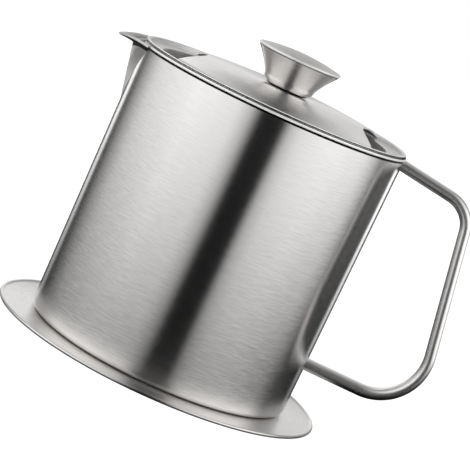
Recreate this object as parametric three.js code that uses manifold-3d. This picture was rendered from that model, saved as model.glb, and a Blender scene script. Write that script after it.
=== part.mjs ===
// Bacon grease container: a steel strainer pot with a pour spout and a bar handle,
// a strainer cup that hangs in its rim, a notched flat-topped lid and a flat drip tray.
// Lengths are millimetres and angles degrees. +Z is up, the handle points to +X
// and the spout to -X. The origin is the middle of the tray's flat underside.

import * as THREE from "three";
import { mergeGeometries, mergeVertices } from "three/addons/utils/BufferGeometryUtils.js";
import Module from "manifold-3d";

const wasm = await Module();
wasm.setup();

// Fits and cuts
const seatGap = 0.3;
const cutOverrun = 3;
const weldTolerance = 0.0005;

// Number of facets
const bodyFacets = 64;
const knobFacets = 40;
const screwFacets = 16;
const beadFacets = 6;
const cornerFacets = 3;
const barCornerFacets = 2;
const domeFacets = 8;
const barFacets = 44;
const spoutFacets = 12;
const panelLevels = 4;
const lipLevels = 4;

// Tray
const trayDiameter = 148;
const traySheet = 1;
const trayRoll = 1.6;

// Pot: a drawn cup that widens a little to its rolled rim
const potRimDiameter = 121.2;
const potFootDiameter = 118.8;
const potHeight = 121.9;
const potWall = 0.8;
const potCorner = 2.6;
const potBead = 1.3;

// Pour spout: a folded sheet over a V cut in the pot's wall
const spoutHalfAngle = 24;
const spoutDepth = 29;
const spoutNose = 5;
const spoutSheet = 0.9;
const spoutFoldShare = 0.3;
const spoutApexShare = 0.05;
const noseDip = 2.4;
const noseDipPower = 3;
const lipDepth = 1.9;
const lipReach = 7.2;
const lipSpread = 5;

// Handle: a flat bar bent to a D
const barThickness = 4.9;
const barWidth = 8;
const barEdge = 2.1;
const handleTop = 3;
const handleFall = 7.7;
const handleLean = 10.2;
const handleReach = 41.6;
const handleGripHeight = 73.7;
const handleBottom = 24.4;
const handleTopBend = 14;
const handleBottomBend = 22;

// Strainer cup: a flange on the pot's rim, a step that seats the lid, and a bowl
const strainerSheet = 0.6;
const strainerBead = 0.8;
const strainerOverhang = 0.7;
const flangeWidth = 1.2;
const seatStepDepth = 1.9;
const seatWidth = 6.6;
const bowlTaper = 2.2;
const bowlDepth = 26;
const netLedge = 4;

// Net and the ring that holds it down
const netSheet = 0.6;
const netPitch = 6.4;
const netWire = 1.3;
const netRim = 3.4;
const netPlay = 0.4;
const ringHeight = 1.6;
const ringWidth = 3;

// Lid: flat in the middle, with a round shoulder and a bite on the spout and handle sides
const lidPlay = 2.6;
const lidSheet = 0.8;
const lidRise = 4.3;
const lidShoulderPower = 5;
const lidHem = 0.9;
const biteDepth = 19.4;
const biteRadius = 84;

// Knob: a flared cup with a domed cap, screwed on through the lid
const knobBaseDiameter = 23;
const knobMouthDiameter = 36.8;
const knobHeight = 13.6;
const knobWall = 1;
const knobFloor = 1.8;
const knobCorner = 3.5;
const knobWaistShare = 0.025;
const bossDiameter = 9;
const bossHeight = 5.4;
const capOverhang = 0.5;
const capEdge = 1.1;
const capRise = 2;
const spigotDepth = 1.8;
const spigotWall = 1.2;

// Screw and washer
const screwDiameter = 4;
const screwHeadDiameter = 8;
const screwHeadHeight = 2.3;
const screwTipGap = 1;
const slotWidth = 1.2;
const slotDepth = 1.1;
const washerDiameter = 13;
const washerSheet = 0.9;

// Heights and radii that follow
const trayRadius = trayDiameter / 2;
const potRimRadius = potRimDiameter / 2;
const potFootRadius = potFootDiameter / 2;
const potBore = potRimRadius - potWall;
const potFootZ = traySheet + seatGap;
const potRimZ = potFootZ + potHeight;
const potTopZ = potRimZ + potBead;
const beadRadius = potBore + potBead;
const flangeZ = potTopZ + seatGap;
const flangeRadius = beadRadius - strainerOverhang;
const stepRadius = potBore - flangeWidth;
const lidSeatZ = flangeZ + strainerSheet - seatStepDepth;
const bowlRadius = stepRadius - seatWidth;
const bowlFootRadius = bowlRadius - bowlTaper;
const bowlFloorZ = lidSeatZ - bowlDepth;
const lidRadius = stepRadius - lidPlay;
const lidShift = lidPlay - seatGap;
const lidFootZ = lidSeatZ + seatGap;
const lidTopZ = lidFootZ + lidHem + lidRise;
const boreRadius = screwDiameter / 2 + seatGap;
const knobBaseZ = lidTopZ + seatGap;
const knobMouthZ = knobBaseZ + knobHeight;
const knobBaseRadius = knobBaseDiameter / 2;
const knobMouthRadius = knobMouthDiameter / 2;

// Steel finishes
const steels = {
  brushed: { color: 0xbdbcb8, roughness: 0.34, metalness: 1 },
  polished: { color: 0xc9c8c5, roughness: 0.18, metalness: 1 },
  satin: { color: 0xb3b3b0, roughness: 0.42, metalness: 1 },
  wire: { color: 0x9a9a98, roughness: 0.4, metalness: 1 },
};

function point(radius, height) {
  return new THREE.Vector2(radius, height);
}

// Points along an arc, both ends included
function arc(centreRadius, centreHeight, radius, fromAngle, toAngle, steps) {
  const points = [];
  for (let i = 0; i <= steps; i += 1) {
    const angle = THREE.MathUtils.degToRad(fromAngle + ((toAngle - fromAngle) * i) / steps);
    points.push(point(
      centreRadius + radius * Math.cos(angle),
      centreHeight + radius * Math.sin(angle),
    ));
  }
  return points;
}

// Shared corners only, without triangles that have no area
function weld(geometry) {
  const bare = geometry.clone();
  bare.deleteAttribute("normal");
  bare.deleteAttribute("uv");
  const merged = mergeVertices(bare, weldTolerance);
  const corners = merged.index.array;
  const kept = [];
  for (let i = 0; i < corners.length; i += 3) {
    const [a, b, c] = [corners[i], corners[i + 1], corners[i + 2]];
    if (a !== b && b !== c && c !== a) kept.push(a, b, c);
  }
  merged.setIndex(kept);
  return merged;
}

function enclosedVolume(geometry) {
  const place = geometry.attributes.position;
  const corners = geometry.index.array;
  const [a, b, c] = [new THREE.Vector3(), new THREE.Vector3(), new THREE.Vector3()];
  let sum = 0;
  for (let i = 0; i < corners.length; i += 3) {
    a.fromBufferAttribute(place, corners[i]);
    b.fromBufferAttribute(place, corners[i + 1]);
    c.fromBufferAttribute(place, corners[i + 2]);
    sum += a.dot(b.cross(c));
  }
  return sum / 6;
}

// A welded geometry whose faces point out
function shell(geometry) {
  const welded = weld(geometry);
  if (enclosedVolume(welded) < 0) {
    const corners = Array.from(welded.index.array);
    for (let i = 0; i < corners.length; i += 3) {
      [corners[i], corners[i + 1]] = [corners[i + 1], corners[i]];
    }
    welded.setIndex(corners);
  }
  return welded;
}

// A profile of radius and height turned about the Z axis
function revolve(profile, facets) {
  return shell(new THREE.LatheGeometry(profile, facets).rotateX(Math.PI / 2));
}

function ring(profile, facets) {
  return revolve([...profile, profile[0].clone()], facets);
}

// A skin over rings of points, closed by a face at each end
function loft(rings) {
  const count = rings[0].length;
  const positions = rings.flat().flatMap((p) => [p.x, p.y, p.z]);
  const corners = [];
  for (let level = 0; level + 1 < rings.length; level += 1) {
    for (let i = 0; i < count; i += 1) {
      const a = level * count + i;
      const b = level * count + ((i + 1) % count);
      corners.push(a, b, b + count, a, b + count, a + count);
    }
  }
  const lastRing = (rings.length - 1) * count;
  const outline = rings[0].map((p) => new THREE.Vector2(p.x, p.y));
  const outlineTop = rings[rings.length - 1].map((p) => new THREE.Vector2(p.x, p.y));
  for (const [a, b, c] of THREE.ShapeUtils.triangulateShape(outline, [])) {
    corners.push(a, c, b);
  }
  for (const [a, b, c] of THREE.ShapeUtils.triangulateShape(outlineTop, [])) {
    corners.push(lastRing + a, lastRing + b, lastRing + c);
  }
  const geometry = new THREE.BufferGeometry();
  geometry.setAttribute("position", new THREE.Float32BufferAttribute(positions, 3));
  geometry.setIndex(corners);
  return shell(geometry);
}

function toSolid(geometry) {
  const welded = shell(geometry);
  return new wasm.Manifold(new wasm.Mesh({
    numProp: 3,
    vertProperties: new Float32Array(welded.attributes.position.array),
    triVerts: new Uint32Array(welded.index.array),
  }));
}

function toGeometry(solid) {
  const mesh = solid.getMesh();
  const geometry = new THREE.BufferGeometry();
  geometry.setAttribute("position", new THREE.BufferAttribute(mesh.vertProperties, 3));
  geometry.setIndex(new THREE.BufferAttribute(mesh.triVerts, 1));
  return geometry;
}

function piece(name, geometry, finish) {
  const mesh = new THREE.Mesh(geometry, new THREE.MeshStandardMaterial(steels[finish]));
  mesh.name = name;
  return mesh;
}

function upright(radius, fromZ, toZ, facets) {
  const post = new THREE.CylinderGeometry(radius, radius, toZ - fromZ, facets);
  return post.rotateX(Math.PI / 2).translate(0, 0, (fromZ + toZ) / 2);
}

// Tray: a flat disc with a small rolled edge
function makeTray() {
  const roll = trayRoll / 2;
  const sheetAngle = 180 - THREE.MathUtils.radToDeg(Math.asin((traySheet - roll) / roll));
  return revolve([
    point(0, 0),
    ...arc(trayRadius - roll, roll, roll, -90, sheetAngle, beadFacets),
    point(0, traySheet),
  ], bodyFacets);
}

// The pot's outer radius at a height, which tapers to the foot
function wallRadius(height) {
  const share = (height - potFootZ) / potHeight;
  return THREE.MathUtils.lerp(potFootRadius, potRimRadius, share);
}

function makePotBlank() {
  const bead = potBead / 2;
  const inner = potCorner - potWall;
  return revolve([
    point(0, potFootZ),
    ...arc(potFootRadius - potCorner, potFootZ + potCorner, potCorner, -90, 0, cornerFacets),
    ...arc(potBore + bead, potRimZ + bead, bead, -90, 180, beadFacets),
    ...arc(potFootRadius - potCorner, potFootZ + potCorner, inner, 0, -90, cornerFacets),
    point(0, potFootZ + potWall),
  ], bodyFacets);
}

// The space that the pot fills from outside, with a gap round it for what is welded on
function makePotSpace() {
  const over = potTopZ + cutOverrun;
  return revolve([
    point(0, potFootZ - cutOverrun),
    point(wallRadius(potFootZ - cutOverrun) + seatGap, potFootZ - cutOverrun),
    point(potRimRadius + seatGap, potRimZ - seatGap),
    point(beadRadius + seatGap, potRimZ - seatGap),
    point(beadRadius + seatGap, over),
    point(0, over),
  ], bodyFacets);
}

// Up the folded panel, whose top dips to the nose, then round the lip to its edge
function spoutLevels() {
  const apexZ = potRimZ - spoutDepth;
  const panelTop = potTopZ - lipDepth;
  const lipEnd = potTopZ - seatGap - spoutSheet;
  const levels = [];
  for (let i = 0; i <= panelLevels; i += 1) {
    const share = Math.max(i / panelLevels, spoutApexShare);
    levels.push({
      height: THREE.MathUtils.lerp(apexZ, panelTop, i / panelLevels),
      angle: spoutHalfAngle * share,
      reach: spoutNose * share,
      dip: noseDip * share,
      spread: 0,
      slope: 0,
    });
  }
  for (let i = 1; i <= lipLevels; i += 1) {
    const turn = ((i / lipLevels) * Math.PI) / 2;
    const outward = 1 - Math.cos(turn);
    levels.push({
      height: THREE.MathUtils.lerp(panelTop, lipEnd, Math.sin(turn)),
      angle: spoutHalfAngle,
      reach: spoutNose + lipReach * outward,
      dip: noseDip,
      spread: lipSpread * outward,
      slope: Math.atan2(lipReach * Math.sin(turn), (lipEnd - panelTop) * Math.cos(turn)),
    });
  }
  return levels;
}

// One level of the spout: a rounded V in plan, closed by a chord inside the pot
function spoutRing(level, inset, lift, back) {
  const radius = wallRadius(Math.min(level.height, potRimZ));
  const turn = THREE.MathUtils.degToRad(level.angle);
  const halfWidth = radius * Math.sin(turn) + level.spread;
  const root = radius * Math.cos(turn);
  const height = level.height + inset * Math.sin(level.slope) + lift;
  const flat = Math.hypot(1, spoutFoldShare);
  const points = [];
  for (let i = spoutFacets; i >= -spoutFacets; i -= 1) {
    const across = i / spoutFacets;
    const rise = (flat - Math.hypot(across, spoutFoldShare)) / (flat - spoutFoldShare);
    const out = root + (radius + level.reach - root) * rise - inset * Math.cos(level.slope);
    points.push(new THREE.Vector3(-out, halfWidth * across, height - level.dip * rise ** noseDipPower));
  }
  points.push(new THREE.Vector3(-back, -halfWidth, height));
  points.push(new THREE.Vector3(-back, halfWidth, height));
  return points;
}

// A filled spout: its levels, and the last one once more, lifted
function spoutBody(levels, inset, lift, back) {
  const rings = levels.map((level) => spoutRing(level, inset, 0, back));
  rings.push(spoutRing(levels[levels.length - 1], inset, lift, back));
  return toSolid(loft(rings));
}

// The sheet between the spout's outside and its channel, and the pot with its V cut
function makeSpoutAndPot() {
  const root = potBore * Math.cos(THREE.MathUtils.degToRad(spoutHalfAngle));
  const inside = root - spoutSheet - cutOverrun;
  const levels = spoutLevels();
  const panel = levels.slice(0, panelLevels + 1);
  const outside = spoutBody(levels, 0, spoutSheet, inside);
  const channel = spoutBody(levels, spoutSheet, cutOverrun, inside - spoutSheet - cutOverrun);
  const wallCut = spoutBody(panel, spoutSheet, 2 * cutOverrun, inside - spoutSheet - cutOverrun);
  const spout = outside.subtract(channel).subtract(toSolid(makePotSpace()));
  const pot = toSolid(makePotBlank()).subtract(wallCut);
  return { spout: toGeometry(spout), pot: toGeometry(pot) };
}

// A path through corner points, each corner but the ends rounded by its radius
function roundedPath(corners, radii) {
  const path = new THREE.Path();
  path.moveTo(corners[0].x, corners[0].y);
  for (let i = 1; i + 1 < corners.length; i += 1) {
    const inward = corners[i].clone().sub(corners[i - 1]).normalize();
    const onward = corners[i + 1].clone().sub(corners[i]).normalize();
    const bend = Math.acos(inward.dot(onward));
    const setback = radii[i - 1] * Math.tan(bend / 2);
    const start = corners[i].clone().addScaledVector(inward, -setback);
    const side = Math.sign(inward.cross(onward));
    const centre = start.clone().add(point(-inward.y, inward.x).multiplyScalar(side * radii[i - 1]));
    const fromAngle = Math.atan2(start.y - centre.y, start.x - centre.x);
    path.lineTo(start.x, start.y);
    path.absarc(centre.x, centre.y, radii[i - 1], fromAngle, fromAngle + side * bend, side < 0);
  }
  const last = corners[corners.length - 1];
  path.lineTo(last.x, last.y);
  return path;
}

// A flat path of radius and height, stood in the XZ plane
class SideCurve extends THREE.Curve {
  constructor(path) {
    super();
    this.path = path;
  }

  getPoint(share) {
    const flat = this.path.getPointAt(share);
    return new THREE.Vector3(flat.x, 0, flat.y);
  }
}

function barSection() {
  const [x, y] = [barWidth / 2, barThickness / 2];
  const shape = new THREE.Shape();
  shape.moveTo(x - barEdge, -y);
  shape.absarc(x - barEdge, barEdge - y, barEdge, -Math.PI / 2, 0, false);
  shape.absarc(x - barEdge, y - barEdge, barEdge, 0, Math.PI / 2, false);
  shape.absarc(barEdge - x, y - barEdge, barEdge, Math.PI / 2, Math.PI, false);
  shape.absarc(barEdge - x, barEdge - y, barEdge, Math.PI, (3 * Math.PI) / 2, false);
  return shape;
}

// Handle: both ends meet the pot's wall, the grip leans out towards its foot
function makeHandle() {
  const fall = Math.tan(THREE.MathUtils.degToRad(handleFall));
  const lean = Math.tan(THREE.MathUtils.degToRad(handleLean));
  const topZ = potTopZ - handleTop;
  const gripX = potRimRadius + handleReach;
  const gripZ = potFootZ + handleGripHeight;
  const bottomZ = potFootZ + handleBottom;
  const inX = potRimRadius - cutOverrun;
  const cornerX = (gripX + lean * (gripZ - topZ - fall * inX)) / (1 - lean * fall);
  const corners = [
    point(inX, topZ),
    point(cornerX, topZ - fall * (cornerX - inX)),
    point(gripX + lean * (gripZ - bottomZ), bottomZ),
    point(inX, bottomZ),
  ];
  const route = new SideCurve(roundedPath(corners, [handleTopBend, handleBottomBend]));
  const bar = new THREE.ExtrudeGeometry(barSection(), {
    steps: barFacets,
    curveSegments: barCornerFacets,
    extrudePath: route,
  });
  return toGeometry(toSolid(bar).subtract(toSolid(makePotSpace())));
}

// Strainer cup: rolled flange, lid step, tapered bowl and the ledge under the net
function makeStrainerCup() {
  const bead = strainerBead / 2;
  const flangeTop = flangeZ + bead + strainerSheet / 2;
  const flangeUnder = flangeTop - strainerSheet;
  const seatUnder = lidSeatZ - strainerSheet;
  const turn = THREE.MathUtils.radToDeg(Math.asin(strainerSheet / strainerBead));
  return ring([
    point(stepRadius + strainerSheet, flangeUnder),
    ...arc(flangeRadius - bead, flangeZ + bead, bead, turn - 180, 180 - turn, beadFacets),
    point(stepRadius, flangeTop),
    point(stepRadius, lidSeatZ),
    point(bowlRadius, lidSeatZ),
    point(bowlFootRadius, bowlFloorZ + strainerSheet),
    point(bowlFootRadius - netLedge, bowlFloorZ + strainerSheet),
    point(bowlFootRadius - netLedge, bowlFloorZ),
    point(bowlFootRadius + strainerSheet, bowlFloorZ),
    point(bowlRadius + strainerSheet, seatUnder),
    point(stepRadius + strainerSheet, seatUnder),
  ], bodyFacets);
}

// Net: a disc with square meshes inside its rim
function makeNet() {
  const radius = bowlFootRadius - netPlay;
  const footZ = bowlFloorZ + strainerSheet + seatGap;
  const side = netPitch - netWire;
  const reach = Math.floor(radius / netPitch);
  const meshes = [];
  for (let column = -reach; column <= reach; column += 1) {
    for (let row = -reach; row <= reach; row += 1) {
      const [x, y] = [column * netPitch, row * netPitch];
      const farCorner = Math.hypot(Math.abs(x) + side / 2, Math.abs(y) + side / 2);
      if (farCorner < radius - netRim) {
        const mesh = new THREE.BoxGeometry(side, side, netSheet + 2 * cutOverrun);
        meshes.push(mesh.translate(x, y, footZ + netSheet / 2));
      }
    }
  }
  const disc = toSolid(upright(radius, footZ, footZ + netSheet, bodyFacets));
  return toGeometry(disc.subtract(toSolid(mergeGeometries(meshes))));
}

function makeNetRing() {
  const outer = bowlFootRadius - netPlay;
  const footZ = bowlFloorZ + strainerSheet + netSheet + 2 * seatGap;
  return ring([
    point(outer - ringWidth, footZ),
    point(outer, footZ),
    point(outer, footZ + ringHeight),
    point(outer - ringWidth, footZ + ringHeight),
  ], bodyFacets);
}

// Lid: a shouldered disc whose hem rests on the seat, with a screw hole and two round bites
function makeLid() {
  const hemTop = lidFootZ + lidHem;
  const height = (radius) => lidTopZ - lidRise * (radius / lidRadius) ** lidShoulderPower;
  const above = [];
  const below = [];
  for (let i = 0; i <= domeFacets; i += 1) {
    const share = Math.sqrt(i / domeFacets);
    const radius = THREE.MathUtils.lerp(boreRadius, lidRadius, share);
    const under = THREE.MathUtils.lerp(boreRadius, lidRadius - lidHem, share);
    above.push(point(radius, height(radius)));
    below.unshift(point(under, height(under) - lidSheet));
  }
  const blank = ring([
    ...above,
    point(lidRadius, lidFootZ),
    point(lidRadius - lidHem, lidFootZ),
    ...below,
  ], bodyFacets);
  let lid = toSolid(blank);
  for (const side of [-1, 1]) {
    const bite = upright(biteRadius, lidFootZ - cutOverrun, hemTop + lidRise, bodyFacets);
    lid = lid.subtract(toSolid(bite.translate(side * (lidRadius - biteDepth + biteRadius), 0, 0)));
  }
  return toGeometry(lid);
}

// The knob's outer radius above its round foot, a little drawn in below the mouth
function knobRadius(height) {
  const share = (height - knobBaseZ - knobCorner) / (knobHeight - knobCorner);
  const straight = THREE.MathUtils.lerp(knobBaseRadius, knobMouthRadius, share);
  return straight - knobWaistShare * knobBaseDiameter * Math.sin(Math.PI * share);
}

// Knob body: a flared cup with a screw boss on its floor
function makeKnobBody() {
  const floorZ = knobBaseZ + knobFloor;
  const cornerZ = knobBaseZ + knobCorner;
  const outer = [];
  const inner = [point(knobRadius(cornerZ) - knobWall, cornerZ)];
  for (let i = 1; i <= beadFacets; i += 1) {
    const height = THREE.MathUtils.lerp(cornerZ, knobMouthZ, i / beadFacets);
    outer.push(point(knobRadius(height), height));
    inner.unshift(point(knobRadius(height) - knobWall, height));
  }
  return ring([
    point(boreRadius, knobBaseZ),
    ...arc(knobBaseRadius - knobCorner, cornerZ, knobCorner, -90, 0, cornerFacets + 1),
    ...outer,
    ...inner,
    point(knobBaseRadius - knobCorner, floorZ),
    point(bossDiameter / 2, floorZ),
    point(bossDiameter / 2, knobBaseZ + bossHeight),
    point(boreRadius, knobBaseZ + bossHeight),
  ], knobFacets);
}

// Knob cap: a domed disc whose spigot drops into the knob's mouth
function makeKnobCap() {
  const radius = knobMouthRadius + capOverhang;
  const edge = capEdge / 2;
  const footZ = knobMouthZ + seatGap;
  const domeRadius = (radius ** 2 + capRise ** 2) / (2 * capRise);
  const top = [];
  for (let i = domeFacets / 2; i >= 0; i -= 1) {
    const out = ((radius - edge) * i) / (domeFacets / 2);
    const sag = domeRadius - Math.sqrt(domeRadius ** 2 - out ** 2);
    top.push(point(out, footZ + capEdge + capRise - sag));
  }
  const spigotZ = footZ - spigotDepth;
  const root = knobRadius(knobMouthZ) - knobWall - seatGap;
  const foot = knobRadius(spigotZ) - knobWall - 2 * seatGap;
  return revolve([
    point(0, footZ),
    point(foot - spigotWall, footZ),
    point(foot - spigotWall, spigotZ),
    point(foot, spigotZ),
    point(root, footZ),
    ...arc(radius - edge, footZ + edge, edge, -90, 60, cornerFacets),
    ...top,
  ], knobFacets);
}

// Screw: a slotted pan head under the lid and a shank up into the knob's boss
function makeScrew() {
  const washerTop = lidTopZ - lidSheet - seatGap;
  const headTop = washerTop - washerSheet - seatGap;
  const headZ = headTop - screwHeadHeight;
  const tip = knobBaseZ + bossHeight - screwTipGap;
  const rim = screwHeadHeight / 2;
  const blank = revolve([
    point(0, headZ),
    point(screwHeadDiameter / 2 - rim, headZ),
    point(screwHeadDiameter / 2, headZ + rim),
    point(screwHeadDiameter / 2, headTop),
    point(screwDiameter / 2, headTop),
    point(screwDiameter / 2, tip),
    point(0, tip),
  ], screwFacets);
  const slot = new THREE.BoxGeometry(screwHeadDiameter + cutOverrun, slotWidth, 2 * slotDepth);
  return toGeometry(toSolid(blank).subtract(toSolid(slot.translate(0, 0, headZ))));
}

function makeWasher() {
  const top = lidTopZ - lidSheet - seatGap;
  return ring([
    point(boreRadius, top - washerSheet),
    point(washerDiameter / 2, top - washerSheet),
    point(washerDiameter / 2, top),
    point(boreRadius, top),
  ], 2 * screwFacets);
}

// Assembly: the lid lies against the handle side of its seat, by its play there
const container = new THREE.Group();
const pot = new THREE.Group();
const strainer = new THREE.Group();
const lid = new THREE.Group();
lid.position.x = lidShift;

const { spout: spoutGeometry, pot: potGeometry } = makeSpoutAndPot();
pot.add(piece("pot_body", potGeometry, "brushed"));
pot.add(piece("pour_spout", spoutGeometry, "brushed"));
pot.add(piece("handle_bar", makeHandle(), "polished"));
strainer.add(piece("strainer_cup", makeStrainerCup(), "polished"));
strainer.add(piece("strainer_net", makeNet(), "wire"));
strainer.add(piece("net_ring", makeNetRing(), "polished"));
lid.add(piece("lid_shell", makeLid(), "brushed"));
lid.add(piece("knob_body", makeKnobBody(), "polished"));
lid.add(piece("knob_cap", makeKnobCap(), "brushed"));
lid.add(piece("knob_screw", makeScrew(), "satin"));
lid.add(piece("screw_washer", makeWasher(), "satin"));
strainer.add(lid);
pot.add(strainer);
container.add(piece("tray", makeTray(), "brushed"));
container.add(pot);

export default container;
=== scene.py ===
"""Bacon grease container: a brushed steel strainer pot on its drip tray, with pour spout, bar
handle, lift-out strainer and a notched lid. Metres; the handle points to +X, the spout to -X.
The file follows the object from the tray up, after the camera, the floor and the light."""
import math

import bpy
from mathutils import Matrix, Vector


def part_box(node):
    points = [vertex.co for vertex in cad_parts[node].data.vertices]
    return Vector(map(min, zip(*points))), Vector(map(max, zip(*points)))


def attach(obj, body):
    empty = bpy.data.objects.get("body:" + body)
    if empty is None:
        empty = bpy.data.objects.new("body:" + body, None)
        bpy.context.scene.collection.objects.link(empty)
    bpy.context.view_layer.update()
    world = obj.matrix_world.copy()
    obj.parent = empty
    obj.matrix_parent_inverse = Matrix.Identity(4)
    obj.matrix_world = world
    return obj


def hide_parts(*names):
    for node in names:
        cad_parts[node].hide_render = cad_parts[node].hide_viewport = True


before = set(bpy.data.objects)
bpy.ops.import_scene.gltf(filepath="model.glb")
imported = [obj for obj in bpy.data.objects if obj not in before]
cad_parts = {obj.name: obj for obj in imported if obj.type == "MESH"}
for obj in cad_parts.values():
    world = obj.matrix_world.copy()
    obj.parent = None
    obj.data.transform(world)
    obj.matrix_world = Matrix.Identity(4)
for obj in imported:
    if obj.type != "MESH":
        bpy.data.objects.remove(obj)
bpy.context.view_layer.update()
mm = 0.001

# Camera
# A long lens, a little above the rim and turned by the tilt of the picture. The handle side is
# turned towards it by a few degrees.
picture_px = 470
focal_px = 2128
sensor_mm = 36
camera_distance = 0.9037
camera_height = 0.2016
camera_turn = math.radians(3)
picture_tilt = math.radians(24.78)
aim_right = 0.0085
aim_height = 0.0634

sideways = Vector((math.cos(camera_turn), math.sin(camera_turn), 0))
away = Vector((-math.sin(camera_turn), math.cos(camera_turn), 0))
eye = Vector((0, 0, camera_height)) - away * camera_distance
aim = Vector((0, 0, aim_height)) + sideways * aim_right
look = (aim - eye).normalized()
right = look.cross(Vector((0, 0, 1))).normalized()
upward = right.cross(look)
across = math.cos(picture_tilt) * right + math.sin(picture_tilt) * upward
over = math.cos(picture_tilt) * upward - math.sin(picture_tilt) * right
placed = Matrix((across, over, -look)).transposed().to_4x4()
placed.translation = eye

camera_data = bpy.data.cameras.new("camera")
camera_data.sensor_width = sensor_mm
camera_data.lens = focal_px / picture_px * sensor_mm
camera = bpy.data.objects.new("camera", camera_data)
camera.matrix_world = placed
bpy.context.scene.collection.objects.link(camera)
bpy.context.scene.camera = camera
bpy.context.scene.view_settings.view_transform = "Standard"

# Floor
# A wide pale sheet under the tray, lit so that it stays close to white, with a soft shadow.
# Reflections don't see it.
floor_reach = 3.0
disc_sides = 96
white = (1, 1, 1, 1)
paper_tone = (0.9, 0.9, 0.9, 1)
paper_roughness = 0.9
paper_glow = 0.72

bpy.ops.object.select_all(action="DESELECT")
bpy.ops.mesh.primitive_circle_add(vertices=disc_sides, radius=floor_reach, fill_type="NGON")
floor = bpy.context.object
floor.name = "floor"
floor.visible_glossy = False
paper = bpy.data.materials.new("floor_paper")
paper.use_nodes = True
paper_shader = paper.node_tree.nodes["Principled BSDF"]
paper_shader.inputs["Base Color"].default_value = paper_tone
paper_shader.inputs["Roughness"].default_value = paper_roughness
paper_shader.inputs["Emission Color"].default_value = white
paper_shader.inputs["Emission Strength"].default_value = paper_glow
floor.data.materials.append(paper)

# Studio light
# A tent of white cloth round the object, in three tiers: walls, eaves and roof. It has a dark
# slit where the camera looks through, and is dark behind but for two bright lines. It is dimmer
# towards the floor, and the camera sees plain white in its place.
studio = bpy.data.worlds.new("studio")
studio.use_nodes = True
bpy.context.scene.world = studio
tent = studio.node_tree
tent.nodes.clear()


def add_node(tree, kind, **values):
    """A node with its settings and the inputs that are named after them."""
    node = tree.nodes.new("ShaderNode" + kind)
    for key, value in values.items():
        if hasattr(node, key):
            setattr(node, key, value)
        else:
            node.inputs[key.replace("_", " ")].default_value = value
    return node


def feed(tree, socket, term):
    """An input gets a number, or the output of another node."""
    if isinstance(term, (int, float)):
        socket.default_value = term
    else:
        tree.links.new(term, socket)


def calculate(tree, operation, *terms):
    """A Math node on numbers or on the outputs of other nodes."""
    node = add_node(tree, "Math", operation=operation)
    for socket, term in zip(node.inputs, terms):
        feed(tree, socket, term)
    return node.outputs[0]


def mix_colours(tree, share, first, second, blend="MIX"):
    """A mix of two colours, which such a node has at inputs 6 and 7 and puts out at output 2."""
    node = add_node(tree, "Mix", data_type="RGBA", blend_type=blend)
    feed(tree, node.inputs[0], share)
    feed(tree, node.inputs[6], first)
    feed(tree, node.inputs[7], second)
    return node.outputs[2]


def band_ramp(tree, position, bands, blend="LINEAR"):
    """A grey ramp from (place, brightness) pairs."""
    ramp = add_node(tree, "ValToRGB")
    ramp.color_ramp.interpolation = blend
    stops = ramp.color_ramp.elements
    while len(stops) < len(bands):
        stops.new(0.5)
    for stop, (place, level) in zip(stops, sorted(bands)):
        stop.position = place
        stop.color = (level, level, level, 1)
    tree.links.new(position, ramp.inputs[0])
    return ramp.outputs[0]


def by_degrees(bands):
    """Pairs of (degrees to the right of the camera, brightness) as places from 0 to 1."""
    return [(degrees / 360 + 0.5, level) for degrees, level in bands]


wall_bands = by_degrees([
    (-180, 0.02), (-159, 0.02), (-157, 0.95), (-149, 0.95), (-147, 0.02), (-139, 0.03), (-125, 0.34),
    (-105, 0.65), (-90, 0.77), (-60, 0.95), (-22, 0.95), (-13, 0.85), (-5, 0.01), (14, 0.01),
    (20, 0.85), (45, 1.0), (70, 1.0), (88, 0.9), (98, 0.75), (107, 0.5), (114, 0.2),
    (120, 0.03), (140, 0.03), (148, 0.0), (150, 1.2), (157, 1.2), (159, 0.02), (180, 0.02),
])
eaves_bands = by_degrees([
    (-180, 0.55), (-160, 0.7), (-153, 0.3), (-125, 0.4), (-110, 0.85), (-60, 1.0), (-24, 0.7),
    (-12, 0.02), (18, 0.02), (30, 0.7), (60, 1.0), (95, 0.9), (112, 0.35), (160, 0.2), (170, 0.45),
    (180, 0.55),
])
roof_bands = by_degrees([
    (-180, 0.02), (-175, 0.03), (-170, 1.0), (-160, 1.0), (-153, 0.2), (-118, 0.2), (-108, 0.9),
    (-60, 1.0), (-24, 0.7), (-12, 0.02), (18, 0.02), (30, 0.7), (60, 1.0), (108, 0.9), (118, 0.2),
    (157, 0.2), (163, 0.9), (170, 0.9), (176, 0.03), (180, 0.02),
])
height_bands = [
    (0.0, 0.02), (0.2, 0.05), (0.33, 0.6), (0.42, 0.95), (0.5, 1.0), (0.7, 0.9), (1.0, 0.4)]
eaves_start, eaves_full = 0.47, 0.505
roof_start, roof_full = 0.66, 0.7
cloth_glow = 1.5
backdrop_glow = 1.0

direction = add_node(tent, "TexCoord").outputs["Generated"]
split = add_node(tent, "SeparateXYZ")
tent.links.new(direction, split.inputs[0])
towards = calculate(tent, "MULTIPLY", split.outputs["Y"], -1)
bearing = calculate(tent, "ARCTAN2", split.outputs["X"], towards)
bearing = calculate(tent, "SUBTRACT", bearing, camera_turn)
bearing = calculate(tent, "MULTIPLY_ADD", bearing, 1 / (2 * math.pi), 0.5)
rise = calculate(tent, "MULTIPLY_ADD", split.outputs["Z"], 0.5, 0.5)
wall_light = band_ramp(tent, bearing, wall_bands)
eaves_light = band_ramp(tent, bearing, eaves_bands)
roof_light = band_ramp(tent, bearing, roof_bands)
height_light = band_ramp(tent, rise, height_bands, "EASE")
eaves_share = band_ramp(tent, rise, [(eaves_start, 0.0), (eaves_full, 1.0)], "EASE")
roof_share = band_ramp(tent, rise, [(roof_start, 0.0), (roof_full, 1.0)], "EASE")
low_light = mix_colours(tent, eaves_share, wall_light, eaves_light)
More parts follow.
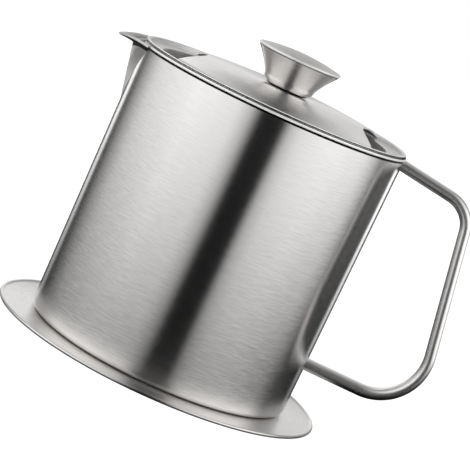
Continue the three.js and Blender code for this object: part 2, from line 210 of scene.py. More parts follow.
tent_light = mix_colours(tent, roof_share, low_light, roof_light)
tent_light = mix_colours(tent, 1, tent_light, height_light, "MULTIPLY")

cloth = add_node(tent, "Background", Strength=cloth_glow)
tent.links.new(tent_light, cloth.inputs["Color"])
backdrop = add_node(tent, "Background", Color=white, Strength=backdrop_glow)
seen = add_node(tent, "LightPath").outputs["Is Camera Ray"]
choose = add_node(tent, "MixShader")
tent.links.new(seen, choose.inputs[0])
tent.links.new(cloth.outputs[0], choose.inputs[1])
tent.links.new(backdrop.outputs[0], choose.inputs[2])
world_out = add_node(tent, "OutputWorld")
tent.links.new(choose.outputs[0], world_out.inputs[0])

# Veil
# A disc just under the floor that only reflections see. It dims them near the pot, and more on
# the handle's side, as the pot's own shade on the floor does.
veil_reach = 1.1
veil_drop = 0.5 * mm
veil_middle = 0.08
veil_squeeze = 0.65
veil_tones = [
    (0.0, 0.06), (0.1, 0.22), (0.2, 0.36), (0.35, 0.55), (0.55, 0.78), (0.85, 1.0), (1.0, 1.0)]

bpy.ops.object.select_all(action="DESELECT")
bpy.ops.mesh.primitive_circle_add(
    vertices=disc_sides, radius=veil_reach, fill_type="NGON", location=(0, 0, -veil_drop))
veil = bpy.context.object
veil.name = "veil"
bpy.ops.object.transform_apply(location=True)
veil.visible_camera = False
veil.visible_diffuse = False
veil.visible_shadow = False
gauze = bpy.data.materials.new("veil_gauze")
gauze.use_nodes = True
gauze_tree = gauze.node_tree
gauze_tree.nodes.clear()
gauze_place = add_node(gauze_tree, "TexCoord").outputs["Object"]
gauze_moved = add_node(
    gauze_tree, "Mapping", Location=(-veil_middle, 0, 0), Scale=(veil_squeeze, 1, 1))
gauze_tree.links.new(gauze_place, gauze_moved.inputs["Vector"])
gauze_reach = add_node(gauze_tree, "VectorMath", operation="LENGTH")
gauze_tree.links.new(gauze_moved.outputs[0], gauze_reach.inputs[0])
gauze_share = calculate(gauze_tree, "DIVIDE", gauze_reach.outputs["Value"], veil_reach)
gauze_tone = band_ramp(gauze_tree, gauze_share, veil_tones)
see_through = add_node(gauze_tree, "BsdfTransparent")
gauze_tree.links.new(gauze_tone, see_through.inputs["Color"])
gauze_out = add_node(gauze_tree, "OutputMaterial")
gauze_tree.links.new(see_through.outputs[0], gauze_out.inputs[0])
veil.data.materials.append(gauze)

# Tray
# A flat round sheet of brushed steel with a small rolled edge, spun on a lathe. The pot stands
# loose on it.
tray_low, tray_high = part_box("tray")
tray_radius = tray_high[0]
tray_roll = (tray_high[2] - tray_low[2]) / 2
tray_sheet = 1.0 * mm
tray_roll_end = 166
round_sides = 224
hub_radius = 0.4 * mm
steel_tint = (0.86, 0.845, 0.83)
scratches_per_metre = 800
scratches_round = 3.5
scratch_scale = 3.0
scratch_detail = 2.0
scratch_roughness = 0.6
scratch_contrast = 0.18
scratch_gloss = 0.05
scratch_strength = 0.06
scratch_depth = 0.05 * mm
across_scratches = 0.25


def arc_points(radius, height, bend, start, end, steps=8):
    """Points of a profile along an arc of the given bend radius, angles in degrees."""
    angles = [math.radians(start + (end - start) * i / steps) for i in range(steps + 1)]
    return [(radius + bend * math.cos(a), height + bend * math.sin(a)) for a in angles]


def pick(piece):
    """The piece alone is selected and active."""
    bpy.ops.object.select_all(action="DESELECT")
    bpy.context.view_layer.objects.active = piece
    piece.select_set(True)


def place_at_origin(piece):
    """The object's origin goes to the frame's, with its place kept in the mesh."""
    pick(piece)
    bpy.ops.object.transform_apply(location=True, rotation=True, scale=True)


def smooth(piece, degrees=35):
    """Smooth faces with crisp edges above an angle."""
    pick(piece)
    bpy.ops.object.shade_smooth_by_angle(angle=math.radians(degrees))


def spun(name, profile, closed=False, centre=0.0):
    """Sheet spun on a lathe: a circle drawn out from each profile point to the next. A closed
    profile joins its ends; an open one starts and ends at the hub, which is filled."""
    bpy.ops.object.select_all(action="DESELECT")
    bpy.ops.mesh.primitive_circle_add(
        vertices=round_sides, radius=profile[0][0], location=(centre, 0, profile[0][1]))
    piece = bpy.context.object
    piece.name = name
    bpy.ops.object.mode_set(mode="EDIT")
    for (radius, height), (next_radius, next_height) in zip(profile, profile[1:]):
        bpy.ops.mesh.extrude_region_move(
            TRANSFORM_OT_translate={"value": (0, 0, next_height - height)})
        grow = next_radius / radius
        bpy.ops.transform.resize(value=(grow, grow, 1), center_override=(centre, 0, next_height))
    bpy.ops.mesh.select_all(action="DESELECT")
    bpy.ops.mesh.select_mode(type="EDGE")
    bpy.ops.mesh.select_non_manifold()
    if closed:
        bpy.ops.mesh.bridge_edge_loops()
    else:
        bpy.ops.mesh.fill_holes(sides=0)
    bpy.ops.mesh.select_all(action="SELECT")
    bpy.ops.mesh.normals_make_consistent(inside=False)
    bpy.ops.object.mode_set(mode="OBJECT")
    place_at_origin(piece)
    return piece


def new_steel(name, tint, metallic):
    """A steel of one colour, with its node tree and its shader."""
    steel = bpy.data.materials.new(name)
    steel.use_nodes = True
    shader = steel.node_tree.nodes["Principled BSDF"]
    shader.inputs["Base Color"].default_value = (*tint, 1)
    shader.inputs["Metallic"].default_value = metallic
    return steel, steel.node_tree, shader


def work_surface(tree, shader, pattern, roughnesses, strength, depth):
    """A pattern varies the roughness between two values and gives a fine relief."""
    sheen = add_node(tree, "MapRange", To_Min=roughnesses[0], To_Max=roughnesses[1])
    tree.links.new(pattern, sheen.inputs["Value"])
    tree.links.new(sheen.outputs["Result"], shader.inputs["Roughness"])
    relief = add_node(tree, "Bump", Strength=strength, Distance=depth)
    tree.links.new(pattern, relief.inputs["Height"])
    tree.links.new(relief.outputs[0], shader.inputs["Normal"])


def brushed_steel(name, tint, roughness, anisotropy, centre=0.0, metallic=1):
    """Steel brushed round the pot's axis: long fine scratches, with reflections drawn out across
    them. Scratches are noise on the distance from the axis and the height, and hardly on the
    way round."""
    steel, tree, shader = new_steel(name, tint, metallic)
    shader.inputs["Roughness"].default_value = roughness
    shader.inputs["Anisotropic"].default_value = anisotropy
    shader.inputs["Anisotropic Rotation"].default_value = across_scratches
    place = add_node(tree, "TexCoord").outputs["Object"]
    moved = add_node(tree, "Mapping", Location=(-centre, 0, 0))
    tree.links.new(place, moved.inputs["Vector"])
    parts = add_node(tree, "SeparateXYZ")
    tree.links.new(moved.outputs[0], parts.inputs[0])
    flat = add_node(tree, "CombineXYZ")
    tree.links.new(parts.outputs["X"], flat.inputs["X"])
    tree.links.new(parts.outputs["Y"], flat.inputs["Y"])
    length = add_node(tree, "VectorMath", operation="LENGTH")
    tree.links.new(flat.outputs[0], length.inputs[0])
    heading = add_node(tree, "VectorMath", operation="NORMALIZE")
    tree.links.new(flat.outputs[0], heading.inputs[0])
    heading_parts = add_node(tree, "SeparateXYZ")
    tree.links.new(heading.outputs[0], heading_parts.inputs[0])
    groove = add_node(tree, "CombineXYZ")
    for axis in ("X", "Y"):
        way_round = calculate(tree, "MULTIPLY", heading_parts.outputs[axis], scratches_round)
        tree.links.new(way_round, groove.inputs[axis])
    level = calculate(tree, "ADD", length.outputs["Value"], parts.outputs["Z"])
    level = calculate(tree, "MULTIPLY", level, scratches_per_metre)
    tree.links.new(level, groove.inputs["Z"])
    scratches = add_node(
        tree, "TexNoise", Scale=scratch_scale, Detail=scratch_detail, Roughness=scratch_roughness)
    tree.links.new(groove.outputs[0], scratches.inputs["Vector"])
    wear = add_node(tree, "MapRange", To_Min=1 - scratch_contrast, To_Max=1 + scratch_contrast)
    tree.links.new(scratches.outputs["Fac"], wear.inputs["Value"])
    colour = add_node(tree, "VectorMath", operation="SCALE")
    colour.inputs[0].default_value = tint
    tree.links.new(wear.outputs["Result"], colour.inputs["Scale"])
    tree.links.new(colour.outputs[0], shader.inputs["Base Color"])
    work_surface(
        tree, shader, scratches.outputs["Fac"],
        (roughness - scratch_gloss, roughness + scratch_gloss), scratch_strength, scratch_depth)
    around = add_node(tree, "Tangent", direction_type="RADIAL", axis="Z")
    tree.links.new(around.outputs[0], shader.inputs["Tangent"])
    return steel


tray_profile = [
    (hub_radius, 0),
    *arc_points(tray_radius - tray_roll, tray_roll, tray_roll, -90, tray_roll_end, steps=16),
    (hub_radius, tray_sheet),
]
tray = spun("tray_dressed", tray_profile)
smooth(tray)
tray.data.materials.append(brushed_steel("tray_steel", steel_tint, roughness=0.3, anisotropy=0.8))
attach(tray, "tray_body")
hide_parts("tray")

# Pot
# A drawn cup of brushed steel with a rounded foot, a wall that widens a little, and a rim rolled
# outwards over a narrow groove. The rolled bead has a painted highlight, a pale half-diffuse steel;
# the groove under it and the bead's top, where the strainer rests, have painted shade, a near-black
# steel. A V is cut out of the wall, where the folded sheet of the spout is welded on; the spout's
# sizes stand here because the cut follows them.
pot_low, pot_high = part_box("pot_body")
pot_foot = pot_low[2]
pot_top = pot_high[2]
pot_wall = 0.8 * mm
pot_corner = 2.6 * mm
pot_bead = 0.65 * mm
pot_taper = 1.2 * mm
pot_bore = pot_high[1] - 2 * pot_bead
pot_rim_radius = pot_bore + pot_wall
pot_rim = pot_top - 2 * pot_bead
pot_foot_radius = pot_rim_radius - pot_taper
# A small groove under the bead, and the bands of painted shade in it and on the bead's top, where
# the strainer rests.
rim_groove_height = 0.85 * mm
rim_groove_depth = 0.3 * mm
contact_shade_band = 0.35 * mm
painted_band_margin = 0.1 * mm
rim_groove_ramp_share = 0.2
spout_half_angle = 24
spout_depth = 29 * mm
spout_nose = 5 * mm
spout_sheet = 0.9 * mm
spout_fold = 0.3
nose_dip = 2.4 * mm
nose_dip_power = 3
lip_depth = 1.9 * mm
lip_reach = 7.2 * mm
lip_spread = 5 * mm
lip_gap = 0.3 * mm
apex_share = 0.02
panel_top = pot_top - lip_depth
lip_end = pot_top - lip_gap - spout_sheet
spout_apex = pot_rim - spout_depth
channel_columns = 24
channel_rows = 32
channel_inward = 14 * mm
channel_upward = 8 * mm
# Pale tint and low metalness of the painted highlight on rims and edges.
painted_highlight_tint = (0.97, 0.965, 0.955)
painted_highlight_metallic = 0.35
# Near-black tint of the painted shade.
painted_shade_tint = (0.012, 0.012, 0.011)
polish_scale = 900.0
polish_detail = 3.0
polish_spread = 0.25
polish_strength = 0.04
polish_depth = 0.02 * mm


def wall_radius(height):
    """The pot's outer radius at a height."""
    share = (height - pot_foot) / (pot_rim - pot_foot)
    return pot_foot_radius + (pot_rim_radius - pot_foot_radius) * share


def spout_point(share_across, share_up, inset=0.0):
    """A point of the spout's sheet: share_across runs -1 to 1, share_up 0 to 1 up the panel and
    1 to 2 round the lip. The inset point lies on the sheet's inner side."""
    share = max(min(share_up, 1), apex_share)
    height = spout_apex + (panel_top - spout_apex) * min(share_up, 1)
    turn = max(share_up - 1, 0) * math.pi / 2
    outward = 1 - math.cos(turn)
    height += (lip_end - panel_top) * math.sin(turn)
    reach = spout_nose * share + lip_reach * outward
    slope = math.atan2(lip_reach * math.sin(turn), (lip_end - panel_top) * math.cos(turn))
    angle = math.radians(spout_half_angle * share)
    radius = wall_radius(min(height, pot_rim))
    half_width = radius * math.sin(angle) + lip_spread * outward
    root = radius * math.cos(angle)
    flat = math.hypot(1, spout_fold)
    bulge = (flat - math.hypot(share_across, spout_fold)) / (flat - spout_fold)
    out = root + (radius + reach - root) * bulge - inset * math.cos(slope)
    height += inset * math.sin(slope) - nose_dip * share * bulge ** nose_dip_power
    return Vector((-out, half_width * share_across, height))


def spout_surface(name, columns, rows, top_share, inset):
    """A flat grid whose points are pushed to the spout's surface, up to top_share of it."""
    bpy.ops.object.select_all(action="DESELECT")
    bpy.ops.mesh.primitive_grid_add(x_subdivisions=columns, y_subdivisions=rows, size=2)
    piece = bpy.context.object
    piece.name = name
    for vertex in piece.data.vertices:
        share_across, share_up = vertex.co.x, (vertex.co.y + 1) / 2 * top_share
        vertex.co = spout_point(share_across, share_up, inset)
    return piece


def finish_with(piece, kind, **settings):
    """A modifier is set up on the piece and applied."""
    modifier = piece.modifiers.new("finish", kind)
    for key, value in settings.items():
        setattr(modifier, key, value)
    bpy.context.view_layer.objects.active = piece
    bpy.ops.object.modifier_apply(modifier=modifier.name)


def cut_away(piece, cutter):
    """The cutter's shape is taken out of the piece, and the cutter is thrown away."""
    finish_with(piece, "BOOLEAN", operation="DIFFERENCE", solver="EXACT", object=cutter)
    bpy.data.objects.remove(cutter)


def polished_steel(name, tint, roughness, metallic=1):
    """Bright steel with a faint uneven polish."""
    steel, tree, shader = new_steel(name, tint, metallic)
    place = add_node(tree, "TexCoord").outputs["Object"]
    mottle = add_node(tree, "TexNoise", Scale=polish_scale, Detail=polish_detail)
    tree.links.new(place, mottle.inputs["Vector"])
    work_surface(
        tree, shader, mottle.outputs["Fac"],
        (roughness * (1 - polish_spread), roughness * (1 + polish_spread)),
        polish_strength, polish_depth)
    return steel


def trim(piece, steel, chosen):
    """The chosen faces get a further steel."""
    piece.data.materials.append(steel)
    for face in piece.data.polygons:
        if chosen(face):
            face.material_index = len(piece.data.materials) - 1


pot_profile = [
    (hub_radius, pot_foot),
    *arc_points(
        pot_foot_radius - pot_corner, pot_foot + pot_corner, pot_corner, -90, 0, steps=12),
    (pot_rim_radius, pot_rim - rim_groove_height),
    (pot_rim_radius - rim_groove_depth, pot_rim - (1 - rim_groove_ramp_share) * rim_groove_height),
    (pot_rim_radius - rim_groove_depth, pot_rim - rim_groove_ramp_share * rim_groove_height),
    *arc_points(pot_bore + pot_bead, pot_rim + pot_bead, pot_bead, -90, 180, steps=18),
    *arc_points(
        pot_foot_radius - pot_corner, pot_foot + pot_corner, pot_corner - pot_wall, 0, -90),
    (hub_radius, pot_foot + pot_wall),
]
pot = spun("pot_dressed", pot_profile)

channel = spout_surface(
    "channel_cutter", channel_columns, channel_rows, top_share=1, inset=spout_sheet)
bpy.ops.object.mode_set(mode="EDIT")
for step in ((channel_inward, 0, channel_upward), (0, 0, channel_upward)):
    bpy.ops.mesh.select_all(action="SELECT")
    bpy.ops.mesh.extrude_region_move(TRANSFORM_OT_translate={"value": step})
bpy.ops.mesh.select_all(action="SELECT")
bpy.ops.mesh.convex_hull()
bpy.ops.object.mode_set(mode="OBJECT")
cut_away(pot, channel)
smooth(pot)

# Painted highlight: a pale, half-diffuse steel that makes the beads, the lid's hem and notch edges
# and the cap's edge read bright white.
painted_highlight_steel = polished_steel("painted_highlight_steel", painted_highlight_tint, roughness=0.35, metallic=painted_highlight_metallic)
# Painted shade: a near-black steel put where shade falls, under the rim's bead, between the beads,
# under the spout's lip and under the knob's foot.
painted_shade_steel = polished_steel("painted_shade_steel", painted_shade_tint, roughness=0.5)
pot.data.materials.append(
    brushed_steel("pot_steel", steel_tint, roughness=0.24, anisotropy=0.95))
# The rolled bead gets the painted highlight.
trim(pot, painted_highlight_steel, lambda face: face.center.z > pot_rim + painted_band_margin)
# Painted shade on the bead's top, where the strainer rests, and in the groove under the bead.
trim(pot, painted_shade_steel, lambda face: face.center.z > pot_top - contact_shade_band / 2 or (
    -rim_groove_height < face.center.z - pot_rim < painted_band_margin
    and face.center.xy.length > pot_rim_radius - 2 * rim_groove_depth))
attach(pot, "pot")
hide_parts("pot_body")

# Spout
# A triangle of brushed steel sheet folded to a beak and welded over the V cut in the wall. Its
# top edge dips to the nose and is drawn out to a flat pouring lip, with painted shade, a near-black
# band, under it.
spout_columns = 48
spout_rows = 72
spout_faces = spout_columns * spout_rows
# The band under the lip that gets painted shade, in shares of the sheet's height.
lip_shade_start = 0.94
lip_shade_end = 1.2


def share_up_of(face):
    """How far up the sheet a face lies, as spout_point counts it. The grid's faces are numbered
    row by row, first those of one side of the sheet and then those of the other."""
    return face.index % spout_faces // spout_columns / spout_rows * 2


spout = spout_surface("spout_dressed", spout_columns, spout_rows, top_share=2, inset=0.0)
finish_with(spout, "SOLIDIFY", thickness=spout_sheet, offset=1)
smooth(spout, degrees=40)
spout.data.materials.append(
    brushed_steel("spout_steel", steel_tint, roughness=0.34, anisotropy=0.5))
# Painted shade: the outer faces just under the lip get the near-black steel.
trim(spout, painted_shade_steel, lambda face: (
    face.index < 2 * spout_faces and face.normal.xy.dot(face.center.xy) > 0
    and lip_shade_start < share_up_of(face) < lip_shade_end))
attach(spout, "pot")
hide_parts("pour_spout")

# Handle
# A flat bar of polished steel with rounded edges, bent to a D and welded to the wall under the
# rim and near the foot. Its grip leans outwards.
bar_low, bar_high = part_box("handle_bar")
bar_thickness = 4.9 * mm
bar_width = bar_high[1] - bar_low[1]
bar_edge = 2.1 * mm
bar_edge_steps = 8
handle_fall = math.radians(7.7)
handle_lean = math.radians(10.2)
top_bend = 14 * mm
top_bend_steps = 16
foot_bend = 22 * mm
foot_bend_steps = 28
weld_depth = 0.7 * mm
top_weld_drop = 3.3 * mm
grip_reach = 41.6 * mm
grip_height = 73.7 * mm
foot_height = bar_low[2] + bar_thickness / 2
handle_tint = (0.88, 0.87, 0.855)

top_start = Vector((pot_rim_radius - weld_depth, 0, pot_top - top_weld_drop))
grip_middle = Vector((pot_rim_radius + grip_reach, 0, pot_foot + grip_height))
foot_end = Vector((wall_radius(foot_height) - weld_depth, 0, foot_height))
top_run = Vector((math.cos(handle_fall), 0, -math.sin(handle_fall)))
grip_run = Vector((math.sin(handle_lean), 0, -math.cos(handle_lean)))
foot_run = Vector((-1, 0, 0))


def crossing(start, run, other_start, other_run):
    """Where two lines in the handle's plane meet."""
    gap = other_start - start
    spread = run.x * other_run.z - run.z * other_run.x
    return start + run * (gap.x * other_run.z - gap.z * other_run.x) / spread


def run_bar(start, end):
    """The bar's end section is drawn straight on."""
    bpy.ops.mesh.extrude_region_move(TRANSFORM_OT_translate={"value": end - start})


def bend_bar(start, corner, run_in, run_out, radius, steps):
    """The bar is drawn on to a bend and swung round it; returns where the bend ends."""
    angle = run_in.angle(run_out)
    setback = radius * math.tan(angle / 2)
    inward = (run_out - run_in).normalized()
    centre = corner + inward * (radius / math.cos(angle / 2))
    run_bar(start, corner - run_in * setback)
    bpy.ops.mesh.spin(steps=steps, angle=angle, center=centre, axis=(0, -1, 0))
    return corner + run_out * setback


top_corner = crossing(top_start, top_run, grip_middle, grip_run)
foot_corner = crossing(grip_middle, grip_run, foot_end, foot_run)

bpy.ops.object.select_all(action="DESELECT")
bpy.ops.mesh.primitive_plane_add(
    size=1, location=top_start, rotation=(0, math.pi / 2 + handle_fall, 0))
handle = bpy.context.object
handle.name = "handle_dressed"
bpy.ops.transform.resize(value=(bar_thickness, bar_width, 1), orient_type="LOCAL")
place_at_origin(handle)
bpy.ops.object.mode_set(mode="EDIT")
bpy.ops.mesh.select_all(action="SELECT")
bpy.ops.mesh.bevel(offset=bar_edge, segments=bar_edge_steps, affect="VERTICES")
top_end = bend_bar(top_start, top_corner, top_run, grip_run, top_bend, top_bend_steps)
grip_end = bend_bar(top_end, foot_corner, grip_run, foot_run, foot_bend, foot_bend_steps)
run_bar(grip_end, foot_end)
bpy.ops.mesh.select_all(action="SELECT")
bpy.ops.mesh.normals_make_consistent(inside=False)
bpy.ops.object.mode_set(mode="OBJECT")
smooth(handle, degrees=40)
handle.data.materials.append(polished_steel("handle_steel", handle_tint, roughness=0.3))
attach(handle, "pot")
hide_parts("handle_bar")

# Strainer
# A thin pressed cup of pale satin steel whose rolled edge rests on the pot's rim. A step inside it
# seats the lid, and the bowl's floor is a net under a ring. The steel is paler and less metallic
# than the pot's, painted light that lightens the bowl seen under the lid. The rolled edge has a
# painted highlight on top and painted shade underneath, where it rests on the pot's bead.
cup_low, cup_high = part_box("strainer_cup")
cup_sheet = 0.6 * mm
cup_bead = 0.4 * mm
flange_width = 1.2 * mm
seat_width = 6.6 * mm
seat_depth = 1.9 * mm
bowl_taper = 2.2 * mm
net_ledge = 4 * mm
press_bend = 0.6 * mm
flange_radius = cup_high[1]
flange_foot = cup_high[2] - 2 * cup_bead
flange_top = flange_foot + cup_bead + cup_sheet / 2
step_radius = pot_bore - flange_width
seat_top = flange_foot + cup_sheet - seat_depth
bowl_radius = step_radius - seat_width
bowl_foot_radius = bowl_radius - bowl_taper
bowl_floor = cup_low[2]
bead_turn = 180 - math.degrees(math.asin(cup_sheet / 2 / cup_bead))
# Paler and less metallic than the pot's steel: painted light that lightens the bowl under the lid.
strainer_lightened_tint = (0.93, 0.92, 0.905)
strainer_lightened_metallic = 0.85

# The corner at the bowl's foot is a chamfer, placed by shares of the sheet's thickness.
cup_inner_side = [
    *arc_points(step_radius + press_bend, flange_top - press_bend, press_bend, 90, 180),
    *arc_points(step_radius - press_bend, seat_top + press_bend, press_bend, 0, -90),
    *arc_points(bowl_radius + press_bend, seat_top - press_bend, press_bend, 90, 180)[:-1],
    (bowl_foot_radius, bowl_floor + 2.5 * cup_sheet),
    (bowl_foot_radius - 0.9 * cup_sheet, bowl_floor + cup_sheet),
    (bowl_foot_radius - net_ledge, bowl_floor + cup_sheet),
]
cup_outer_side = [
    (bowl_foot_radius - net_ledge, bowl_floor),
    (bowl_foot_radius - 0.4 * cup_sheet, bowl_floor),
    (bowl_foot_radius + cup_sheet, bowl_floor + 2 * cup_sheet),
    (bowl_radius + cup_sheet, seat_top - cup_sheet),
    (step_radius + cup_sheet, seat_top - cup_sheet),
    (step_radius + cup_sheet, flange_top - cup_sheet),
]
cup_profile = [
    *arc_points(
        flange_radius - cup_bead, flange_foot + cup_bead, cup_bead, -bead_turn, bead_turn,
        steps=16),
    *cup_inner_side,
    *cup_outer_side,
]
strainer = spun("strainer_dressed", cup_profile, closed=True)
smooth(strainer, degrees=40)
strainer.data.materials.append(brushed_steel(
    "strainer_steel", strainer_lightened_tint, roughness=0.45, anisotropy=0.5, metallic=strainer_lightened_metallic))
# Painted highlight on the rolled edge, and painted shade on its underside where it rests on the
# pot's bead.
trim(strainer, painted_highlight_steel, lambda face: face.center.xy.length > flange_radius - 2 * cup_bead)
trim(strainer, painted_shade_steel, lambda face: (
    face.center.xy.length > flange_radius - 2 * cup_bead
    and face.center.z < flange_foot + contact_shade_band))
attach(strainer, "strainer")
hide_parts("strainer_cup")

# Net
# Fine steel wires woven over and under each other, cut to a disc that lies on the ledge at the
# bowl's foot.
net_low, net_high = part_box("strainer_net")
net_radius = net_high[1]
net_middle = (net_low[2] + net_high[2]) / 2
wire = 0.34 * mm
weave_lift = 0.1 * mm
wire_pitch = 1.9 * mm
wire_tint = (0.6, 0.6, 0.59)
net_cells = int(2 * net_radius / wire_pitch)

bpy.ops.object.select_all(action="DESELECT")
bpy.ops.mesh.primitive_grid_add(
    x_subdivisions=net_cells, y_subdivisions=net_cells, size=2 * net_radius,
    location=(0, 0, net_middle))
net = bpy.context.object
net.name = "net_dressed"
place_at_origin(net)
bpy.ops.object.mode_set(mode="EDIT")
bpy.ops.mesh.select_mode(type="VERT")
bpy.ops.mesh.select_all(action="DESELECT")
bpy.ops.object.mode_set(mode="OBJECT")
for vertex in net.data.vertices:
    column = round((vertex.co.x + net_radius) / (2 * net_radius) * net_cells)
    row = round((vertex.co.y + net_radius) / (2 * net_radius) * net_cells)
    vertex.co.z += weave_lift if (column + row) % 2 else -weave_lift
    vertex.select = math.hypot(vertex.co.x, vertex.co.y) > net_radius - wire
bpy.ops.object.mode_set(mode="EDIT")
bpy.ops.mesh.delete(type="VERT")
bpy.ops.object.mode_set(mode="OBJECT")
finish_with(net, "WIREFRAME", thickness=wire, use_even_offset=False)
net.data.materials.append(polished_steel("wire_steel", wire_tint, roughness=0.35))
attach(net, "strainer")
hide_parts("strainer_net")

# Net ring
# A flat ring of brushed steel with rounded top edges, pressed over the net's rim. It holds the
# net down on the ledge.
ring_low, ring_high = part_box("net_ring")
ring_width = 3 * mm
ring_edge = 0.3 * mm
ring_radius = ring_high[1]
ring_bore = ring_radius - ring_width
ring_arc_height = ring_high[2] - ring_edge

ring_profile = [
    (ring_bore, ring_low[2]),
    (ring_radius, ring_low[2]),
    *arc_points(ring_radius - ring_edge, ring_arc_height, ring_edge, 0, 90),
    *arc_points(ring_bore + ring_edge, ring_arc_height, ring_edge, 90, 180),
]
net_ring = spun("net_ring_dressed", ring_profile, closed=True)
smooth(net_ring)
net_ring.data.materials.append(
    brushed_steel("ring_steel", steel_tint, roughness=0.3, anisotropy=0.6))
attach(net_ring, "strainer")
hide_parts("net_ring")

# Lid
# A pressed disc of brushed steel, flat in the middle, with a round shoulder and a short hem. It
# has a notch on the spout side and one on the handle side, and lies against the handle side.
lid_low, lid_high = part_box("lid_shell")
lid_centre = (lid_low[0] + lid_high[0]) / 2
lid_middle = Vector((lid_centre, 0))
lid_radius = lid_high[1]
lid_foot = lid_low[2]
lid_top = lid_high[2]
lid_sheet = 0.8 * mm
lid_hem = 0.9 * mm
lid_shoulder = 5
lid_rise = lid_top - lid_foot - lid_hem
lid_rings = 32
lid_edge = 0.3 * mm
screw_hole = 2.3 * mm
notch_depth = 19.4 * mm
notch_radius = 84 * mm
notch_cutter_height = 40 * mm
steep_normal = 0.3


def lid_height(radius):
    """The lid's outer height at a distance from its middle."""
    return lid_top - lid_rise * (radius / lid_radius) ** lid_shoulder


def lid_side(reach, drop):
    """The lid's profile from the screw hole out to a radius."""
    radii = [screw_hole + (reach - screw_hole) * i / lid_rings for i in range(lid_rings + 1)]
    return [(radius, lid_height(radius) - drop) for radius in radii]


def from_lid_middle(face):
    """How far out on the lid, or on its knob, a face lies."""
    return (face.center.xy - lid_middle).length


lid_profile = [
    *lid_side(lid_radius - lid_edge, 0),
    (lid_radius, lid_height(lid_radius) - lid_edge),
    (lid_radius, lid_foot),
    (lid_radius - lid_hem, lid_foot),
    *reversed(lid_side(lid_radius - lid_hem, lid_sheet)),
]
lid = spun("lid_dressed", lid_profile, closed=True, centre=lid_centre)
for side in (-1, 1):
    notch_place = lid_centre + side * (lid_radius - notch_depth + notch_radius)
    bpy.ops.object.select_all(action="DESELECT")
    bpy.ops.mesh.primitive_cylinder_add(
        vertices=round_sides, radius=notch_radius, depth=notch_cutter_height,
        location=(notch_place, 0, lid_foot))
    cut_away(lid, bpy.context.object)
smooth(lid)
lid.data.materials.append(brushed_steel(
    "lid_steel", steel_tint, roughness=0.3, anisotropy=0.88, centre=lid_centre))
# Painted highlight: the hem's outer faces and the steep faces of the notches get the pale
# half-diffuse steel.
trim(lid, painted_highlight_steel, lambda face: (
    from_lid_middle(face) > lid_radius - lid_edge
    or abs(face.normal.z) < steep_normal
    and lid_radius / 2 < from_lid_middle(face) < lid_radius - lid_hem))
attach(lid, "lid")
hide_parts("lid_shell")

# Knob body
# A flared cup of brushed steel with a thin mouth and a screw boss on its floor. It stands on the
# lid, with painted shade, a near-black band, on the underside of its round foot.
knob_low, knob_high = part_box("knob_body")
knob_foot = knob_low[2]
knob_mouth = knob_high[2]
knob_mouth_radius = knob_high[1]
knob_base_radius = 11.5 * mm
knob_wall = 1 * mm
knob_floor = 1.8 * mm
knob_corner = 3.5 * mm
knob_waist = 0.575 * mm
knob_rings = 20
# Height of the painted shade band under the knob's foot.
knob_shade_band = 0.5 * mm
boss_radius = 4.5 * mm
boss_height = 5.4 * mm
knob_corner_top = knob_foot + knob_corner
knob_corner_radius = knob_base_radius - knob_corner


def knob_radius(height):
    """The knob's outer radius above its round foot, a little drawn in below the mouth."""
    share = (height - knob_corner_top) / (knob_mouth - knob_corner_top)
    straight = knob_base_radius + (knob_mouth_radius - knob_base_radius) * share
    return straight - knob_waist * math.sin(math.pi * share)


def knob_side(inset):
    """The flared wall's profile from the round foot to the mouth."""
    rise_of_wall = knob_mouth - knob_corner_top
    heights = [knob_corner_top + rise_of_wall * i / knob_rings for i in range(knob_rings + 1)]
    return [(knob_radius(height) - inset, height) for height in heights]


knob_profile = [
    (screw_hole, knob_foot),
    *arc_points(knob_corner_radius, knob_corner_top, knob_corner, -90, 0, steps=14)[:-1],
    *knob_side(0),
    *reversed(knob_side(knob_wall)),
    *arc_points(knob_corner_radius, knob_corner_top, knob_corner - knob_wall, -10, -50, steps=6),
    (knob_corner_radius, knob_foot + knob_floor),
    (boss_radius, knob_foot + knob_floor),
    (boss_radius, knob_foot + boss_height),
    (screw_hole, knob_foot + boss_height),
]
knob = spun("knob_dressed", knob_profile, closed=True, centre=lid_centre)
smooth(knob)
knob.data.materials.append(brushed_steel(
    "knob_steel", steel_tint, roughness=0.2, anisotropy=0.6, centre=lid_centre))
# Painted shade: the downward faces at the knob's foot are near-black.
trim(knob, painted_shade_steel, lambda face: face.normal.z < 0 and face.center.z < knob_foot + knob_shade_band)
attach(knob, "lid")
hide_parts("knob_body")

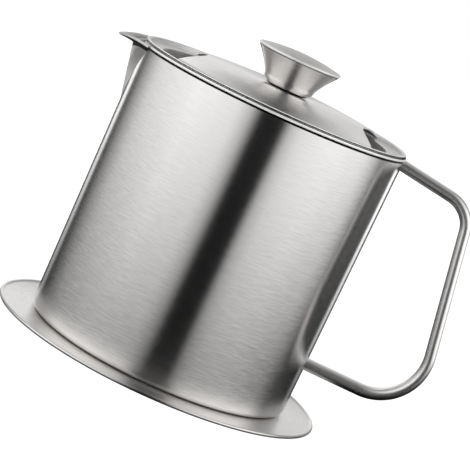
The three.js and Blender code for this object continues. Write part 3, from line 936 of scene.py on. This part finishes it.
# Knob cap
# A domed disc of satin steel whose rounded edge has a painted highlight, a pale half-diffuse steel.
# A short spigot under it is pressed into the knob's mouth.
cap_low, cap_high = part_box("knob_cap")
cap_radius = cap_high[1]
cap_edge = 0.55 * mm
cap_rise = 2 * mm
cap_rings = 14
cap_edge_end = 75
cap_foot = cap_high[2] - cap_rise - 2 * cap_edge
cap_dome = (cap_radius ** 2 + cap_rise ** 2) / (2 * cap_rise)
spigot_wall = 1.2 * mm
spigot_root_gap = 0.3 * mm
spigot_foot_gap = 0.6 * mm
spigot_root = knob_radius(knob_mouth) - knob_wall - spigot_root_gap
spigot_foot = knob_radius(cap_low[2]) - knob_wall - spigot_foot_gap


def cap_height(radius):
    """The cap's domed top at a distance from its middle."""
    return cap_high[2] - cap_dome + math.sqrt(cap_dome ** 2 - radius ** 2)


cap_outs = [(cap_radius - cap_edge) * i / cap_rings for i in range(cap_rings, 0, -1)]
cap_profile = [
    (hub_radius, cap_foot),
    (spigot_foot - spigot_wall, cap_foot),
    (spigot_foot - spigot_wall, cap_low[2]),
    (spigot_foot, cap_low[2]),
    (spigot_root, cap_foot),
    *arc_points(cap_radius - cap_edge, cap_foot + cap_edge, cap_edge, -90, cap_edge_end, steps=12),
    *[(out, cap_height(out)) for out in cap_outs],
    (hub_radius, cap_high[2]),
]
cap = spun("cap_dressed", cap_profile, centre=lid_centre)
smooth(cap)
cap.data.materials.append(brushed_steel(
    "cap_steel", steel_tint, roughness=0.5, anisotropy=0.0, centre=lid_centre))
# Painted highlight on the cap's rounded edge.
trim(cap, painted_highlight_steel, lambda face: from_lid_middle(face) > cap_radius - cap_edge)
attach(cap, "lid")
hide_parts("knob_cap")

# Screw and washer
# A slotted pan head screw that holds the knob from under the lid, on a plain washer. Both are
# bright steel and keep the shape of the frame's solids.
screw_tint = (0.78, 0.78, 0.77)
screw_steel = polished_steel("bright_steel", screw_tint, roughness=0.2)
for node in ("knob_screw", "screw_washer"):
    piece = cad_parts[node]
    piece.data.materials.clear()
    piece.data.materials.append(screw_steel)
